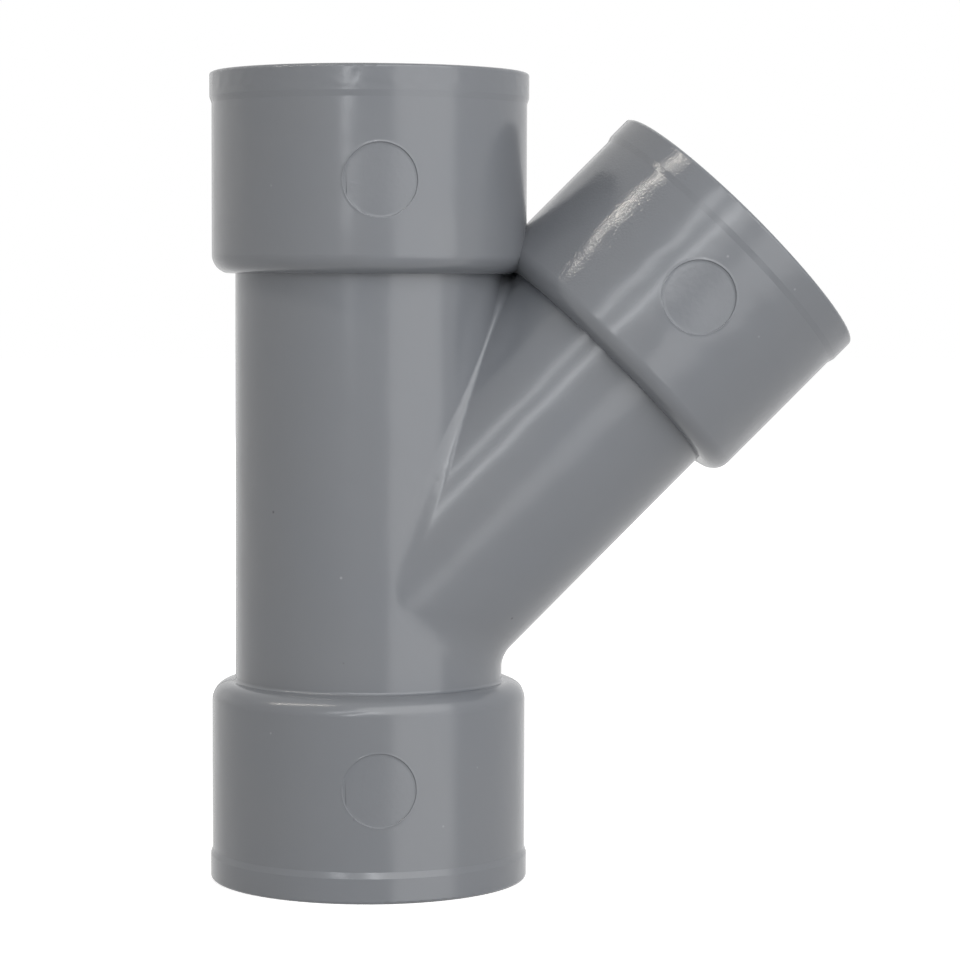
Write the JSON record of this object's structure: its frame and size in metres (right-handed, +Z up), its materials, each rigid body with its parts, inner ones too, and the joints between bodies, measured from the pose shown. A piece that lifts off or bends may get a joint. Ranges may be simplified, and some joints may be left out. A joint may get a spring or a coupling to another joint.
{
  "type": "lateral wye pipe fitting",
  "caption": "One-piece grey plastic pipe wye with plain solvent-weld sockets at both ends of a straight run and on a branch that leaves it at an angle.",
  "frame": {"origin": "centre of the lower socket's mouth", "axes": "+Z runs up the straight run from the lower mouth to the upper mouth, +X is the side that the branch leans to, and the moulded discs face -Y"},
  "size_m": [0.0951, 0.047, 0.1192],
  "materials": {
    "grey_plastic": "semi-gloss moulded rigid PVC, mid grey with a slight blue cast"
  },
  "bodies": {
    "root": {"wye_body": "grey_plastic"}
  },
  "joints": []
}
